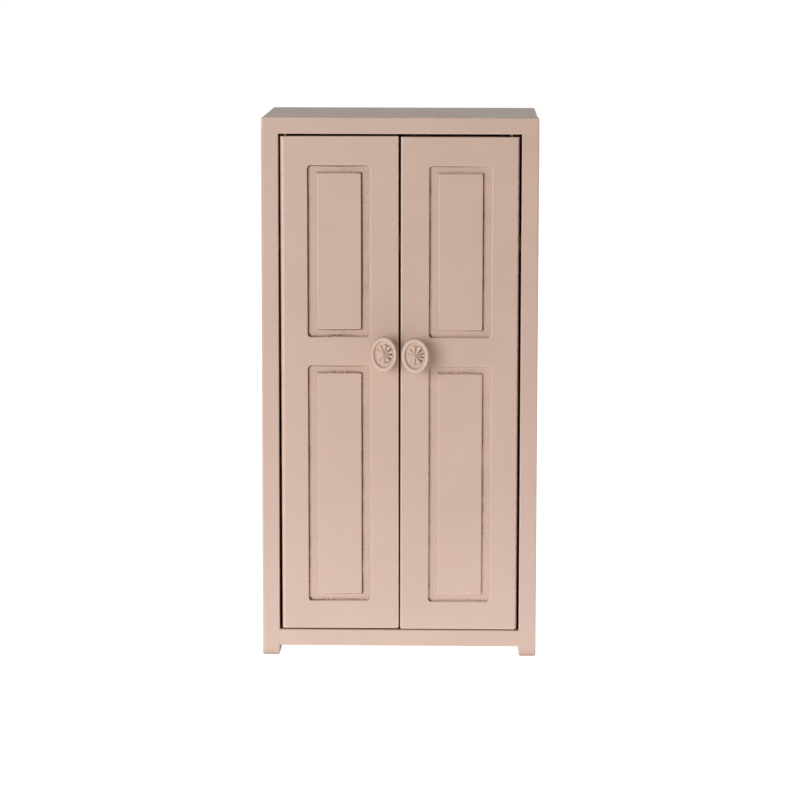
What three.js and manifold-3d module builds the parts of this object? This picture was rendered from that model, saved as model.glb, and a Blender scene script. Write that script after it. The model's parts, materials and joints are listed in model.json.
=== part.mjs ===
// Miniature two-door wardrobe for a dolls' house, in 6 mm painted board.
// Millimetres, +Z up, doors facing -Y, origin at the bottom centre of the whole object.
//
// The carcass is two side boards that run down to the floor as feet, a top board laid over
// them, a bottom board let in between them just above the floor, and a thin back pinned on
// from behind. Inside are a hat shelf and a hanging rail. Each door turns on two pins, one
// driven down through the top board and one driven up through the bottom board.

import * as THREE from 'three';
import { mergeVertices } from 'three/addons/utils/BufferGeometryUtils.js';
import Module from 'manifold-3d';

const wasm = await Module();
wasm.setup();

// ---------------------------------------------------------------- driving dimensions

const WIDTH = 100;              // outside, left to right
const HEIGHT = 196.875;         // floor to the top of the top board
const CARCASS_DEPTH = 74;       // front edges of the boards to the back of the back board
const KNOB_REACH = 9;           // how far a knob stands out from its door
const BOARD = 6;                // board stock: top, bottom, shelf and doors
const SIDE_BOARD = 6.25;        // the side boards come out a little thicker
const BACK_BOARD = 3;           // back board stock

const Y_FRONT = -(CARCASS_DEPTH + KNOB_REACH) / 2 + KNOB_REACH;   // front plane of carcass and doors
const Y_REAR = Y_FRONT + CARCASS_DEPTH;                           // rear face of the back board
const Y_INNER = Y_REAR - BACK_BOARD;                              // front face of the back board
const X_OUT = WIDTH / 2;
const X_IN = X_OUT - SIDE_BOARD;                                  // inner face of a side board
const Z_TOP = HEIGHT - BOARD;                                     // underside of the top board
const FOOT = 3.625;                                               // floor to the bottom board
const Z_DECK = FOOT + BOARD;                                      // upper face of the bottom board

const TOP_ROUND = 0.375;        // upper end edges of the top board
const SIDE_ROUND = 0.75;        // front outer edge of a side board
const FOOT_ROUND = 1.0;         // bottom edges of a side board
const BACK_ROUND = 1.5;         // rear upright edges of the back board
const ARRIS = 0.375;            // small rounding on the other handled edges

// Doors. The hinge edge is rounded over, and the pins sit nearer the front than the back,
// so that its corner clears the side board as it swings past. Each door's hinge line is
// given at its top: the gap from side board to hinge edge, how far the pin is in from that
// edge, and how far the lower pin sits towards the middle. The left door's lower pin was
// driven a little far in, so that door leans.
const DOOR_WIDTH = 42.625;
const DOOR_HEIGHT = 179.875;
const DOOR_ROUND = 0.375;       // front and rear arris of the meeting edge
const HINGE_ROUND = 1.75;       // front and rear round-over of the hinge edge
const HANG = {
  left: { gap: 0.625, pin: 1.875, foot: 10.125, drift: 0.4, marginHinge: 9.45, marginMeeting: 9.95 },
  right: { gap: 0.75, pin: 2.75, foot: 10.0, drift: 0, marginHinge: 9.55, marginMeeting: 9.94 },
};

// Routed grooves in a door face: one rectangle above the other, each leaving an island
// level with the face. Margins, here and above, are to the groove's outer edge.
const GROOVE_WIDTH = 3.375;     // of the level strokes; the upright ones wandered a little wider
const GROOVE_LEFT = 4.05;
const GROOVE_RIGHT = 3.85;
const GROOVE_DEPTH = 1.1;
const GROOVE_CORNER = 1.5;      // cutter radius, outer corners only
const MARGIN_BOTTOM = 9.9;
const LOWER_GROOVE = 87.3;      // height of the lower rectangle
const MIDDLE_RAIL = 9.85;       // between the rectangles
const UPPER_GROOVE = 62.65;     // height of the upper rectangle

// Hinge pins
const PIN_R = 0.7;
const PIN_SETBACK = 2;          // front of the door to the pin's axis
const PIN_LENGTH = 13.6;
const PIN_HEAD_R = 1.3;
const PIN_HEAD = 0.6;
const PIN_SEAT_R = 0.72;        // tight hole in the fixed board
const PIN_BORE_R = 0.78;        // running hole in the door
const PIN_BORE_DEPTH = 7.6;
const HEAD_SET = 0.125;         // heads are set this far below the surface

// Panel pins that hold the boards together
const BRAD_R = 0.5;
const BRAD_LENGTH = 14;
const BRAD_HEAD_R = 0.9;
const BRAD_HEAD = 0.4;
const BRAD_CLEAR = 0.03;

// Inside
const SHELF_Z = 148;            // underside of the hat shelf
const SHELF_FRONT = Y_FRONT + BOARD + 0.5;   // the closed doors come to rest just before it
const RAIL_R = 2.5;
const RAIL_Z = 138;
const RAIL_SOCKET = 3;          // depth of the rail's blind holes in the side boards
const RAIL_CLEAR = 0.06;

// Knobs: an oval head with a raised rim and a petalled dish, on a short round neck
const KNOB_HALF_W = 4.9;
const KNOB_HALF_H = 6.375;
const KNOBS = {
  left: { x: -5.5, z: 112.375, lean: -1 },
  right: { x: 5.75, z: 111.875, lean: -4 },
};
const PETALS = 10;
const SCREW_R = 0.95;
const SCREW_INTO_KNOB = 4.2;
const SCREW_HEAD_R = 1.9;
const SCREW_HEAD = 1.25;

// ---------------------------------------------------------------- materials

const paint = () => new THREE.MeshStandardMaterial({ color: 0xd3b4a4, roughness: 0.5, metalness: 0 });
const knobPaint = () => new THREE.MeshStandardMaterial({ color: 0xdcbfae, roughness: 0.38, metalness: 0 });
const bareWood = () => new THREE.MeshStandardMaterial({ color: 0xd9b98a, roughness: 0.6, metalness: 0 });
const steel = () => new THREE.MeshStandardMaterial({ color: 0x9a958e, roughness: 0.35, metalness: 0.9 });

// ---------------------------------------------------------------- solids

function toSolid(geometry) {
  const g = geometry.clone();
  g.deleteAttribute('normal');
  g.deleteAttribute('uv');
  const merged = mergeVertices(g, 1e-5);
  return new wasm.Manifold(new wasm.Mesh({
    numProp: 3,
    vertProperties: new Float32Array(merged.attributes.position.array),
    triVerts: new Uint32Array(merged.index.array),
  }));
}

function toGeometry(solid) {
  const mesh = solid.getMesh();
  const g = new THREE.BufferGeometry();
  const points = new Float32Array(mesh.numVert * 3);
  for (let i = 0; i < mesh.numVert; i++) {
    for (let k = 0; k < 3; k++) points[3 * i + k] = mesh.vertProperties[mesh.numProp * i + k];
  }
  g.setAttribute('position', new THREE.BufferAttribute(points, 3));
  g.setIndex(new THREE.BufferAttribute(new Uint32Array(mesh.triVerts), 1));
  const flat = g.toNonIndexed();
  flat.computeVertexNormals();
  return flat;
}

// Outline of a rectangle whose corners, from low-low counter-clockwise, have their own radii.
function outline(u0, v0, u1, v1, radii, steps = 4) {
  const centres = [
    [u0, v0, 1, 1, Math.PI], [u1, v0, -1, 1, 1.5 * Math.PI],
    [u1, v1, -1, -1, 0], [u0, v1, 1, -1, 0.5 * Math.PI],
  ];
  const points = [];
  centres.forEach(([u, v, su, sv, start], i) => {
    const r = radii[i];
    if (r === 0) {
      points.push(new THREE.Vector2(u, v));
      return;
    }
    for (let k = 0; k <= steps; k++) {
      const a = start + (k / steps) * Math.PI / 2;
      points.push(new THREE.Vector2(u + su * r + r * Math.cos(a), v + sv * r + r * Math.sin(a)));
    }
  });
  return new THREE.Shape(points);
}

// A plan outline (x, y) raised from z0 to z1.
function raise(shape, z0, z1) {
  const g = new THREE.ExtrudeGeometry(shape, { depth: z1 - z0, bevelEnabled: false });
  g.translate(0, 0, z0);
  return g;
}

// A front outline (x, z) drawn back from y0 to y1.
function drawBack(shape, y0, y1) {
  const g = new THREE.ExtrudeGeometry(shape, { depth: y1 - y0, bevelEnabled: false });
  g.rotateX(Math.PI / 2);
  g.translate(0, y1, 0);
  return g;
}

// A round bar from one point to another, with its flats always in the same places.
function bar(r, from, to, sides) {
  const a = new THREE.Vector3(...from);
  const b = new THREE.Vector3(...to);
  const g = new THREE.CylinderGeometry(r, r, a.distanceTo(b), sides);
  const turn = new THREE.Quaternion().setFromUnitVectors(
    new THREE.Vector3(0, 1, 0), b.clone().sub(a).normalize());
  g.applyQuaternion(turn);
  g.translate((a.x + b.x) / 2, (a.y + b.y) / 2, (a.z + b.z) / 2);
  return g;
}

const pieces = new THREE.Group();

function add(parent, name, geometry, material) {
  const mesh = new THREE.Mesh(geometry, material);
  mesh.name = name;
  parent.add(mesh);
  return mesh;
}

// ---------------------------------------------------------------- nails

// A headed pin, head at its origin and point along -Y, before it is turned into place.
function nail(r, length, headR, head, point, sides) {
  return new THREE.LatheGeometry([
    new THREE.Vector2(0, -length),
    new THREE.Vector2(r, -length + point),
    new THREE.Vector2(r, -head),
    new THREE.Vector2(headR, -head),
    new THREE.Vector2(headR, 0),
    new THREE.Vector2(0, 0),
  ], sides);
}

// The hole for a headed pin that goes in along a direction from a point on the surface.
function nailHole(at, into, r, depth, headR, head, sides) {
  const p = new THREE.Vector3(...at);
  const d = new THREE.Vector3(...into).normalize();
  const start = p.clone().addScaledVector(d, -1);
  const end = p.clone().addScaledVector(d, depth);
  const seat = p.clone().addScaledVector(d, head);
  return toSolid(bar(r, start.toArray(), end.toArray(), sides))
    .add(toSolid(bar(headR, start.toArray(), seat.toArray(), sides)));
}

// Every panel pin: where its head goes, which way it is driven, and the two boards it joins.
const brads = [];
for (const [side, s] of [['left', -1], ['right', 1]]) {
  const x = s * (X_OUT - SIDE_BOARD / 2);
  brads.push({ name: `top_pin_${side}_front`, at: [x, -20, HEIGHT], into: [0, 0, -1], joins: ['top_panel', `side_panel_${side}`] });
  brads.push({ name: `top_pin_${side}_rear`, at: [x, 26, HEIGHT], into: [0, 0, -1], joins: ['top_panel', `side_panel_${side}`] });
  brads.push({ name: `base_pin_${side}_front`, at: [s * X_OUT, -18, FOOT + BOARD / 2], into: [-s, 0, 0], joins: [`side_panel_${side}`, 'bottom_panel'] });
  brads.push({ name: `base_pin_${side}_rear`, at: [s * X_OUT, 26, FOOT + BOARD / 2], into: [-s, 0, 0], joins: [`side_panel_${side}`, 'bottom_panel'] });
  brads.push({ name: `shelf_pin_${side}_front`, at: [s * X_OUT, -14, SHELF_Z + BOARD / 2], into: [-s, 0, 0], joins: [`side_panel_${side}`, 'hat_shelf'] });
  brads.push({ name: `shelf_pin_${side}_rear`, at: [s * X_OUT, 24, SHELF_Z + BOARD / 2], into: [-s, 0, 0], joins: [`side_panel_${side}`, 'hat_shelf'] });
  for (const [where, z] of [['low', 32], ['mid', 98], ['high', 168]]) {
    brads.push({ name: `back_pin_${side}_${where}`, at: [x, Y_REAR, z], into: [0, -1, 0], joins: ['back_panel', `side_panel_${side}`] });
  }
}
brads.push({ name: 'back_pin_top', at: [0, Y_REAR, HEIGHT - BOARD / 2], into: [0, -1, 0], joins: ['back_panel', 'top_panel'] });
brads.push({ name: 'back_pin_base', at: [0, Y_REAR, FOOT + BOARD / 2], into: [0, -1, 0], joins: ['back_panel', 'bottom_panel'] });

function drillBrads(solid, board) {
  for (const b of brads) {
    if (!b.joins.includes(board)) continue;
    solid = solid.subtract(nailHole(b.at, b.into, BRAD_R + BRAD_CLEAR, BRAD_LENGTH + HEAD_SET + 0.1,
      BRAD_HEAD_R + BRAD_CLEAR, BRAD_HEAD + HEAD_SET + 0.02, 8));
  }
  return solid;
}

// ---------------------------------------------------------------- carcass

const carcass = new THREE.Group();
pieces.add(carcass);

const HINGE_Y = Y_FRONT + PIN_SETBACK;

// A door's hinge line: it passes through x at the top of the door and leans by tilt.
function hingeLine(side, s) {
  const { gap, pin, foot, drift } = HANG[side];
  const x = s * (X_IN - gap - pin);
  const z = foot + DOOR_HEIGHT;
  const slope = -s * drift / DOOR_HEIGHT;        // sideways travel for each mm down
  const down = new THREE.Vector3(slope, 0, -1).normalize();
  return { x, z, down, tilt: -Math.atan(slope), at: (level) => x + slope * (z - level) };
}
const LINES = { left: hingeLine('left', -1), right: hingeLine('right', 1) };

for (const [side, s] of [['left', -1], ['right', 1]]) {
  const low = s < 0 ? -X_OUT : X_IN;
  const high = s < 0 ? -X_IN : X_OUT;
  const outerFirst = s < 0;
  const plan = outline(low, Y_FRONT, high, Y_INNER,
    outerFirst ? [SIDE_ROUND, ARRIS, 0, 0] : [ARRIS, SIDE_ROUND, 0, 0], 3);
  const front = outline(low, 0, high, Z_TOP, [FOOT_ROUND, FOOT_ROUND, 0, 0], 3);
  let board = toSolid(raise(plan, 0, Z_TOP))
    .intersect(toSolid(drawBack(front, Y_FRONT - 1, Y_INNER + 1)));
  board = board.subtract(toSolid(bar(RAIL_R + RAIL_CLEAR,
    [s * (X_IN - 1), (SHELF_FRONT + Y_INNER) / 2, RAIL_Z],
    [s * (X_IN + RAIL_SOCKET), (SHELF_FRONT + Y_INNER) / 2, RAIL_Z], 20)));
  board = drillBrads(board, `side_panel_${side}`);
  add(carcass, `side_panel_${side}`, toGeometry(board), paint());
}

{
  const front = outline(-X_OUT, Z_TOP, X_OUT, HEIGHT, [0, 0, TOP_ROUND, TOP_ROUND], 4);
  let board = toSolid(drawBack(front, Y_FRONT, Y_INNER));
  for (const line of Object.values(LINES)) {
    board = board.subtract(nailHole([line.at(HEIGHT), HINGE_Y, HEIGHT], line.down.toArray(),
      PIN_SEAT_R, BOARD + 1, PIN_HEAD_R + 0.04, PIN_HEAD + HEAD_SET + 0.02, 12));
  }
  board = drillBrads(board, 'top_panel');
  add(carcass, 'top_panel', toGeometry(board), paint());
}

{
  let board = toSolid(raise(outline(-X_IN, Y_FRONT, X_IN, Y_INNER, [0, 0, 0, 0]), FOOT, Z_DECK));
  for (const line of Object.values(LINES)) {
    board = board.subtract(nailHole([line.at(FOOT), HINGE_Y, FOOT], line.down.clone().negate().toArray(),
      PIN_SEAT_R, BOARD + 1, PIN_HEAD_R + 0.04, PIN_HEAD + HEAD_SET + 0.02, 12));
  }
  board = drillBrads(board, 'bottom_panel');
  add(carcass, 'bottom_panel', toGeometry(board), paint());
}

{
  const inset = 0.25;   // the back board is cut a hair small all round
  const front = outline(-X_OUT + inset, FOOT, X_OUT - inset, HEIGHT - inset, [0.5, 0.5, 0.5, 0.5], 3);
  const plan = outline(-X_OUT + inset, Y_INNER, X_OUT - inset, Y_REAR, [0, 0, BACK_ROUND, BACK_ROUND], 4);
  let board = toSolid(drawBack(front, Y_INNER - 1, Y_REAR + 1))
    .intersect(toSolid(raise(plan, 0, HEIGHT)));
  board = drillBrads(board, 'back_panel');
  add(carcass, 'back_panel', toGeometry(board), paint());
}

{
  const plan = outline(-X_IN, SHELF_FRONT, X_IN, Y_INNER, [0, 0, 0, 0]);
  let board = toSolid(raise(plan, SHELF_Z, SHELF_Z + BOARD));
  board = drillBrads(board, 'hat_shelf');
  add(carcass, 'hat_shelf', toGeometry(board), paint());
}

{
  const y = (SHELF_FRONT + Y_INNER) / 2;
  const half = X_IN + RAIL_SOCKET - 0.2;
  add(carcass, 'hanging_rail', bar(RAIL_R, [-half, y, RAIL_Z], [half, y, RAIL_Z], 20), bareWood());
}

for (const b of brads) {
  const mesh = add(carcass, b.name, nail(BRAD_R, BRAD_LENGTH, BRAD_HEAD_R, BRAD_HEAD, 1.2, 8), steel());
  const d = new THREE.Vector3(...b.into);
  mesh.quaternion.setFromUnitVectors(new THREE.Vector3(0, -1, 0), d);
  mesh.position.set(...b.at).addScaledVector(d, HEAD_SET);
}

for (const [side, line] of Object.entries(LINES)) {
  for (const [end, z, sense] of [['top', HEIGHT, 1], ['bottom', FOOT, -1]]) {
    const mesh = add(carcass, `hinge_pin_${side}_${end}`,
      nail(PIN_R, PIN_LENGTH, PIN_HEAD_R, PIN_HEAD, 0.8, 12), steel());
    const d = line.down.clone().multiplyScalar(sense);
    mesh.quaternion.setFromUnitVectors(new THREE.Vector3(0, -1, 0), d);
    mesh.position.set(line.at(z), HINGE_Y, z).addScaledVector(d, HEAD_SET);
  }
}

// ---------------------------------------------------------------- doors

// Plan of a door: rounded over at the hinge, small arrises at the meeting edge.
function doorPlan(side, s) {
  const hinge = X_IN - HANG[side].gap;           // hinge edge, as a distance from the middle
  const meeting = hinge - DOOR_WIDTH;
  const points = [];
  const r = HINGE_ROUND;
  const steps = 6;
  for (let k = 0; k <= steps; k++) {             // rear round-over of the hinge edge
    const a = Math.PI / 2 - (k / steps) * Math.PI / 2;
    points.push([hinge - r + r * Math.cos(a), Y_FRONT + BOARD - r + r * Math.sin(a)]);
  }
  for (let k = 0; k <= steps; k++) {             // front round-over
    const a = -(k / steps) * Math.PI / 2;
    points.push([hinge - r + r * Math.cos(a), Y_FRONT + r + r * Math.sin(a)]);
  }
  for (let k = 0; k <= 3; k++) {                 // front arris
    const a = -Math.PI / 2 - (k / 3) * Math.PI / 2;
    points.push([meeting + DOOR_ROUND + DOOR_ROUND * Math.cos(a), Y_FRONT + DOOR_ROUND + DOOR_ROUND * Math.sin(a)]);
  }
  for (let k = 0; k <= 3; k++) {                 // rear arris
    const a = Math.PI - (k / 3) * Math.PI / 2;
    points.push([meeting + DOOR_ROUND + DOOR_ROUND * Math.cos(a), Y_FRONT + BOARD - DOOR_ROUND + DOOR_ROUND * Math.sin(a)]);
  }
  return new THREE.Shape(points.map(([x, y]) => new THREE.Vector2(s * x, y)));
}

function grooveCutter(side, s, z0, height) {
  const { gap, foot, marginHinge, marginMeeting } = HANG[side];
  const hinge = X_IN - gap - marginHinge;
  const meeting = X_IN - gap - DOOR_WIDTH + marginMeeting;
  const x0 = s < 0 ? -hinge : meeting;
  const x1 = s < 0 ? -meeting : hinge;
  const c = GROOVE_CORNER;
  const outer = outline(x0, foot + z0, x1, foot + z0 + height, [c, c, c, c], 4);
  const w = GROOVE_WIDTH;
  const island = outline(x0 + GROOVE_LEFT, foot + z0 + w, x1 - GROOVE_RIGHT, foot + z0 + height - w, [0, 0, 0, 0]);
  return toSolid(drawBack(outer, Y_FRONT - 1, Y_FRONT + GROOVE_DEPTH))
    .subtract(toSolid(drawBack(island, Y_FRONT - 2, Y_FRONT + GROOVE_DEPTH + 1)));
}

// ---------------------------------------------------------------- knobs

// Rings of an oval turning, from the centre of the foot round the rim to the middle of the
// dish: reach out of the door, half width, half height, and how far the petals rise.
const KNOB_RINGS = [
  [0, 2.5, 2.5, 0],
  [0.6, 2.5, 2.5, 0],
  [1.1, 1.95, 1.95, 0],
  [3.5, 1.9, 1.9, 0],
  [4.4, 2.6, 3.0, 0],
  [5.2, 4.0, 5.4, 0],
  [6.0, 4.7, 6.15, 0],
  [6.9, KNOB_HALF_W, KNOB_HALF_H, 0],
  [8.3, 4.8, 6.28, 0],
  [8.85, 4.5, 5.9, 0],
  [KNOB_REACH, 4.1, 5.35, 0],
  [8.7, 3.65, 4.75, 0],
  [8.05, 3.4, 4.35, 0],
  [8.2, 3.1, 3.7, 0.35],
  [8.45, 1.7, 2.0, 0.3],
  [8.5, 0.7, 0.8, 0.1],
];

function ovalKnob() {
  const sides = 4 * PETALS;
  const points = [0, 0, 0];
  for (const [reach, a, b, petal] of KNOB_RINGS) {
    for (let i = 0; i < sides; i++) {
      const t = (i / sides) * 2 * Math.PI;
      const lobe = petal * (0.5 - 0.5 * Math.cos(PETALS * t)) - petal / 2;
      points.push(a * Math.cos(t), -(reach + lobe), b * Math.sin(t));
    }
  }
  points.push(0, -8.5, 0);
  const rings = KNOB_RINGS.length;
  const at = (ring, i) => 1 + ring * sides + (i % sides);
  const last = 1 + rings * sides;
  const index = [];
  for (let i = 0; i < sides; i++) {
    index.push(0, at(0, i + 1), at(0, i));
    for (let r = 0; r < rings - 1; r++) {
      index.push(at(r, i), at(r, i + 1), at(r + 1, i));
      index.push(at(r, i + 1), at(r + 1, i + 1), at(r + 1, i));
    }
    index.push(last, at(rings - 1, i), at(rings - 1, i + 1));
  }
  const g = new THREE.BufferGeometry();
  g.setAttribute('position', new THREE.BufferAttribute(new Float32Array(points), 3));
  g.setIndex(index);
  return g;
}

for (const [side, s] of [['left', -1], ['right', 1]]) {
  // The door is drawn upright, then the whole leaf is leant about the top of its hinge line.
  const { foot } = HANG[side];
  const line = LINES[side];
  const leaf = new THREE.Group();
  leaf.rotation.y = line.tilt;
  leaf.position.set(line.x, 0, line.z);
  const upright = new THREE.Group();
  upright.position.set(-line.x, 0, -line.z);
  leaf.add(upright);
  pieces.add(leaf);

  let board = toSolid(raise(doorPlan(side, s), foot, foot + DOOR_HEIGHT));
  board = board.subtract(grooveCutter(side, s, MARGIN_BOTTOM, LOWER_GROOVE));
  board = board.subtract(grooveCutter(side, s, MARGIN_BOTTOM + LOWER_GROOVE + MIDDLE_RAIL, UPPER_GROOVE));
  board = board.subtract(toSolid(bar(PIN_BORE_R, [line.x, HINGE_Y, foot - 1],
    [line.x, HINGE_Y, foot + PIN_BORE_DEPTH], 12)));
  board = board.subtract(toSolid(bar(PIN_BORE_R, [line.x, HINGE_Y, foot + DOOR_HEIGHT - PIN_BORE_DEPTH],
    [line.x, HINGE_Y, foot + DOOR_HEIGHT + 1], 12)));
  const knob = { ...KNOBS[side], x: KNOBS[side].x - line.at(KNOBS[side].z) + line.x };
  board = board.subtract(toSolid(bar(SCREW_R + 0.05, [knob.x, Y_FRONT - 1, knob.z],
    [knob.x, Y_FRONT + BOARD + 1, knob.z], 12)));
  add(upright, `door_${side}`, toGeometry(board), paint());

  let head = toSolid(ovalKnob());
  head = head.subtract(toSolid(bar(SCREW_R + 0.05, [0, 1, 0], [0, -SCREW_INTO_KNOB - 0.2, 0], 12)));
  const headMesh = add(upright, `knob_${side}`, toGeometry(head), knobPaint());
  headMesh.position.set(knob.x, Y_FRONT, knob.z);
  headMesh.rotation.y = THREE.MathUtils.degToRad(knob.lean);

  const length = BOARD + SCREW_INTO_KNOB;
  const shank = new THREE.LatheGeometry([
    new THREE.Vector2(0, -length),
    new THREE.Vector2(SCREW_R * 0.6, -length),
    new THREE.Vector2(SCREW_R, -length + 0.6),
    new THREE.Vector2(SCREW_R, 0),
    new THREE.Vector2(SCREW_HEAD_R, 0),
    new THREE.Vector2(SCREW_HEAD_R, SCREW_HEAD * 0.55),
    new THREE.Vector2(SCREW_HEAD_R * 0.75, SCREW_HEAD),
    new THREE.Vector2(0, SCREW_HEAD),
  ], 12);
  const slot = new THREE.BoxGeometry(5, 1, 0.5);
  slot.translate(0, SCREW_HEAD + 0.05, 0);
  const screw = add(upright, `knob_screw_${side}`,
    toGeometry(toSolid(shank).subtract(toSolid(slot))), steel());
  screw.position.set(knob.x, Y_FRONT + BOARD, knob.z);
}

export default pieces;
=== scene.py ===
# Miniature two-door wardrobe: the looks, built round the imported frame.
import json
import math

import bmesh
import bpy
from mathutils import Matrix, Vector, geometry, noise


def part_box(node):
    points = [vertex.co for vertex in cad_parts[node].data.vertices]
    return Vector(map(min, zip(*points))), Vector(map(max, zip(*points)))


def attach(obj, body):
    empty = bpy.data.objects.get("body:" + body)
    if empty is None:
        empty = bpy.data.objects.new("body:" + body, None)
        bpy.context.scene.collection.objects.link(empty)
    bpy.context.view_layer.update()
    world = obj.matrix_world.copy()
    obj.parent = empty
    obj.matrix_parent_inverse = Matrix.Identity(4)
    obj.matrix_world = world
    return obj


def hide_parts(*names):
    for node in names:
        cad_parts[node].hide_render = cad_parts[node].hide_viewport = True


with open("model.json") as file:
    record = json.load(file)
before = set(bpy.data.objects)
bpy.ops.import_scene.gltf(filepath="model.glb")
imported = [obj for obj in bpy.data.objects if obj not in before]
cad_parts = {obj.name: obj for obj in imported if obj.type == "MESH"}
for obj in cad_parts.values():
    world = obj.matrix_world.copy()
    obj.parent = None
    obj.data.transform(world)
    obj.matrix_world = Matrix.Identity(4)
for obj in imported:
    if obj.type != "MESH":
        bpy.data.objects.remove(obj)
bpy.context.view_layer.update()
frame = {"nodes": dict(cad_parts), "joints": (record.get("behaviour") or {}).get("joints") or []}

scene = bpy.context.scene
MM = 0.001

# ------------------------------------------------------------------ places, from the frame


def mm_box(node):
    lo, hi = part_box(node)
    return [c / MM for c in lo], [c / MM for c in hi]


SIDE_L = mm_box("side_panel_left")
SIDE_R = mm_box("side_panel_right")
TOP = mm_box("top_panel")
DECK = mm_box("bottom_panel")
BACK = mm_box("back_panel")
SHELF = mm_box("hat_shelf")
RAIL = mm_box("hanging_rail")
DOORS = {s: mm_box("door_" + s) for s in ("left", "right")}
JOINTS = {j["name"]: j for j in frame["joints"]}

Y_FRONT = SIDE_L[0][1]
Y_INNER = SIDE_L[1][1]
X_IN = SIDE_R[0][0]
X_OUT = SIDE_R[1][0]
BOARD = DECK[1][2] - DECK[0][2]

# Drawn sizes that no box gives, in millimetres, the same as the CAD model's
DOOR_WIDTH = 42.625
DOOR_HEIGHT = 179.875
HINGE_ROUND = 1.75
GROOVE_WIDTH = 3.375                    # level strokes
STROKES = (4.05, 3.85)                  # left and right strokes
GROOVE_DEPTH = 1.1
GROOVE_CORNER = 1.5
MARGIN_BOTTOM = 9.9
LOWER_GROOVE = 87.3
MIDDLE_RAIL = 9.85
UPPER_GROOVE = 62.65
PIN_SETBACK = 2.0
HANG = {
    "left": dict(s=-1, gap=0.625, pin=1.875, foot=10.125, drift=0.4, hinge=9.45, meeting=9.95, corners=(0.35, 0.9)),
    "right": dict(s=1, gap=0.75, pin=2.75, foot=10.0, drift=0.0, hinge=9.55, meeting=9.94, corners=(1.1, 0.5)),
}
KNOB = {
    "left": dict(x=-5.5, z=112.32, lean=-1.0, a=4.75, b=6.36, dish=(3.52, 4.65), reach=(3.45, 2.9, 3.5, 3.3),
                 clefts=(100, 64, 33, -2, -36, -76, -119, 180, 134)),
    "right": dict(x=5.78, z=111.85, lean=-4.0, a=5.05, b=6.38, dish=(3.5, 4.7), reach=(3.5, 2.6, 3.8, 3.4),
                  clefts=(120, 76, 37, 12, -14, -42, -87, -124, 188, 152)),
}


# ------------------------------------------------------------------ mesh helpers

AXES = {"x": 0, "y": 1, "z": 2}


def wobble(p, scale, seed):
    """Smooth noise from -1 to 1 at a point in millimetres; scale is the size of its lumps."""
    return noise.noise(Vector((p[0] / scale + seed * 17.3, p[1] / scale - seed * 5.1, p[2] / scale + seed * 9.7)))


def lattice_box(xs, ys, zs):
    """The surface of a box, cut at the given coordinates."""
    bm = bmesh.new()
    made = {}

    def v(i, j, k):
        if (i, j, k) not in made:
            made[i, j, k] = bm.verts.new((xs[i], ys[j], zs[k]))
        return made[i, j, k]

    nx, ny, nz = len(xs) - 1, len(ys) - 1, len(zs) - 1
    for i in range(nx):
        for j in range(ny):
            bm.faces.new([v(i, j, 0), v(i, j + 1, 0), v(i + 1, j + 1, 0), v(i + 1, j, 0)])
            bm.faces.new([v(i, j, nz), v(i + 1, j, nz), v(i + 1, j + 1, nz), v(i, j + 1, nz)])
    for i in range(nx):
        for k in range(nz):
            bm.faces.new([v(i, 0, k), v(i + 1, 0, k), v(i + 1, 0, k + 1), v(i, 0, k + 1)])
            bm.faces.new([v(i, ny, k), v(i, ny, k + 1), v(i + 1, ny, k + 1), v(i + 1, ny, k)])
    for j in range(ny):
        for k in range(nz):
            bm.faces.new([v(0, j, k), v(0, j, k + 1), v(0, j + 1, k + 1), v(0, j + 1, k)])
            bm.faces.new([v(nx, j, k), v(nx, j + 1, k), v(nx, j + 1, k + 1), v(nx, j, k + 1)])
    bm.normal_update()
    return bm


def side_name(n):
    a = max(range(3), key=lambda i: abs(n[i]))
    return ("-" if n[a] < 0 else "+") + "xyz"[a]


def with_modifiers(mesh, setup):
    o = bpy.data.objects.new("making", mesh)
    scene.collection.objects.link(o)
    setup(o)
    graph = bpy.context.evaluated_depsgraph_get()
    graph.update()
    made = bpy.data.meshes.new_from_object(o.evaluated_get(graph))
    bpy.data.objects.remove(o)
    return made


def rounded_box(xs, ys, zs, rounds, segments=5):
    """A box with its own radius on each edge. rounds is keyed by the edge's two sides, such
    as "-x-y"; a value is a radius or a function of the edge's middle."""
    bm = lattice_box(xs, ys, zs)
    weight = bm.edges.layers.float.new("bevel_weight_edge")
    radii = {}
    for e in bm.edges:
        a, b = (side_name(f.normal) for f in e.link_faces)
        if a == b:
            continue
        key = "".join(sorted((a, b), key=lambda s: s[1]))
        r = rounds.get(key, 0)
        if callable(r):
            r = r((e.verts[0].co + e.verts[1].co) / 2)
        if r:
            radii[e] = r
    widest = max(radii.values())
    for e, r in radii.items():
        e[weight] = r / widest
    mesh = bpy.data.meshes.new("box")
    bm.to_mesh(mesh)
    bm.free()

    def bevel(o):
        m = o.modifiers.new("round", "BEVEL")
        m.limit_method = "WEIGHT"
        m.offset_type = "OFFSET"
        m.width = widest
        m.segments = segments
        m.use_clamp_overlap = False
        m.miter_outer = "MITER_SHARP"

    mesh = with_modifiers(mesh, bevel)
    bm = bmesh.new()
    bm.from_mesh(mesh)
    bpy.data.meshes.remove(mesh)
    bmesh.ops.remove_doubles(bm, verts=bm.verts, dist=1e-4)
    bmesh.ops.dissolve_limit(bm, angle_limit=math.radians(0.3), verts=bm.verts, edges=bm.edges,
                             use_dissolve_boundaries=False)
    bm.normal_update()
    edge = bm.verts.layers.float.new("edge")
    bm.verts.layers.float.new("fuzz")
    bm.verts.layers.float.new("raw")
    # edge marks the rounded arrises, where paint() lightens the colour: partly wear, partly a painted highlight
    for v in bm.verts:
        v[edge] = 1.0 if all(max(abs(c) for c in f.normal) < 0.9995 for f in v.link_faces) else 0.0
    for e in bm.edges:
        if len(e.link_faces) == 2 and e.calc_face_angle(0) > math.radians(36):
            e.smooth = False
    return bm


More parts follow.
